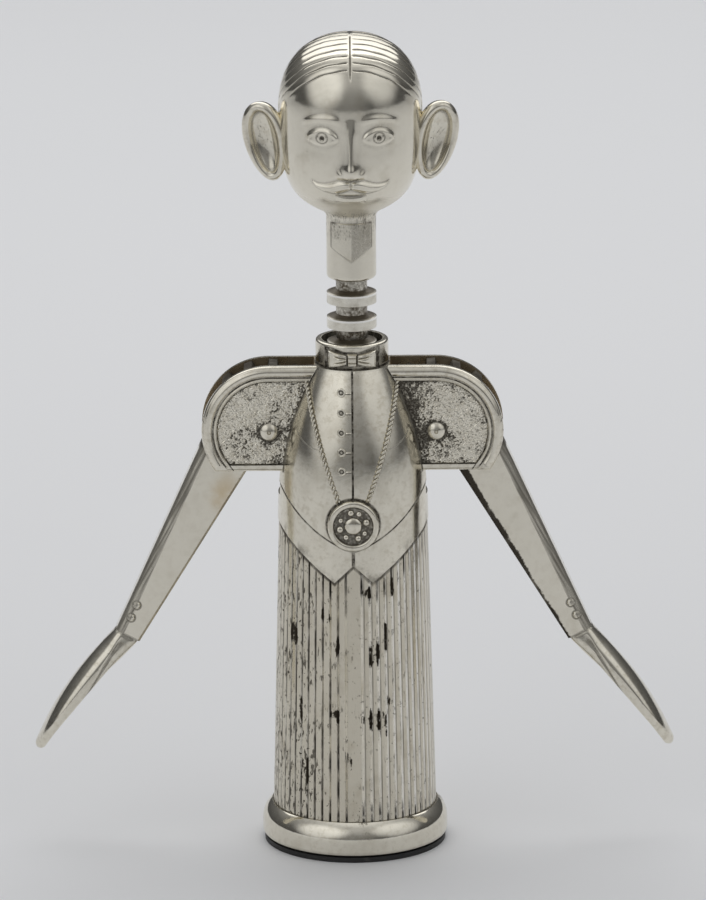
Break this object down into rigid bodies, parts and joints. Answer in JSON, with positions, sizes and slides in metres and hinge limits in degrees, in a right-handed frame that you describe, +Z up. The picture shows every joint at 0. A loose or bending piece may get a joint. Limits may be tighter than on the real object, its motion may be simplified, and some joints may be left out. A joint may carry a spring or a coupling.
{
  "type": "figural lever corkscrew",
  "caption": "Butler-shaped lever corkscrew in silver-coloured metal: the ring rack under the head lifts two geared arms, and a striped bell sits over the bottle neck.",
  "frame": {"origin": "on the table, under the spindle axis, at the middle of the foot", "axes": "+Z up the spindle from foot to head; the figure faces -Y; its right arm is on -X"},
  "size_m": [0.162, 0.0466, 0.2079],
  "materials": {
    "silver_plate": "polished silver plate, tarnished in the recesses",
    "plated_steel": "turned and plated",
    "black_guide": "matte black"
  },
  "bodies": {
    "frame": {"torso_casting": "silver_plate", "trouser_bell": "silver_plate", "base_ring": "silver_plate", "bottle_guide": "black_guide", "left_pivot_pin": "silver_plate", "right_pivot_pin": "silver_plate", "bow_tie": "silver_plate", "shirt_studs": "silver_plate", "neck_chain": "silver_plate", "tasting_cup": "silver_plate"},
    "rack": {"rack_sleeve": "plated_steel"},
    "spindle": {"head": "silver_plate", "left_ear": "silver_plate", "right_ear": "silver_plate", "spindle_rod": "plated_steel", "worm": "plated_steel", "worm_pin": "plated_steel"},
    "left_arm": {"left_lever": "silver_plate", "left_hand": "silver_plate", "left_cuff_rivets": "silver_plate"},
    "right_arm": {"right_lever": "silver_plate", "right_hand": "silver_plate", "right_cuff_rivets": "silver_plate"}
  },
  "joints": [
    {"name": "rack_slide", "type": "slide", "parent": "frame", "child": "rack", "axis": [0, 0, 1], "range_m": [-0.032, 0.008]},
    {"name": "head_turn", "type": "hinge", "parent": "rack", "child": "spindle", "pos_m": [0, 0, 0.15], "axis": [0, 0, 1], "continuous": true},
    {"name": "left_arm_swing", "type": "hinge", "parent": "frame", "child": "left_arm", "pos_m": [-0.02085, 0, 0.1074], "axis": [0, -1, 0], "range_deg": [-114.6, 28.65]},
    {"name": "right_arm_swing", "type": "hinge", "parent": "frame", "child": "right_arm", "pos_m": [0.02085, 0, 0.1074], "axis": [0, 1, 0], "range_deg": [-114.6, 28.65]}
  ],
  "couplings": [
    {"joint": "left_arm_swing", "follows": "rack_slide", "rad_per_m": 62.5},
    {"joint": "right_arm_swing", "follows": "rack_slide", "rad_per_m": 62.5}
  ]
}
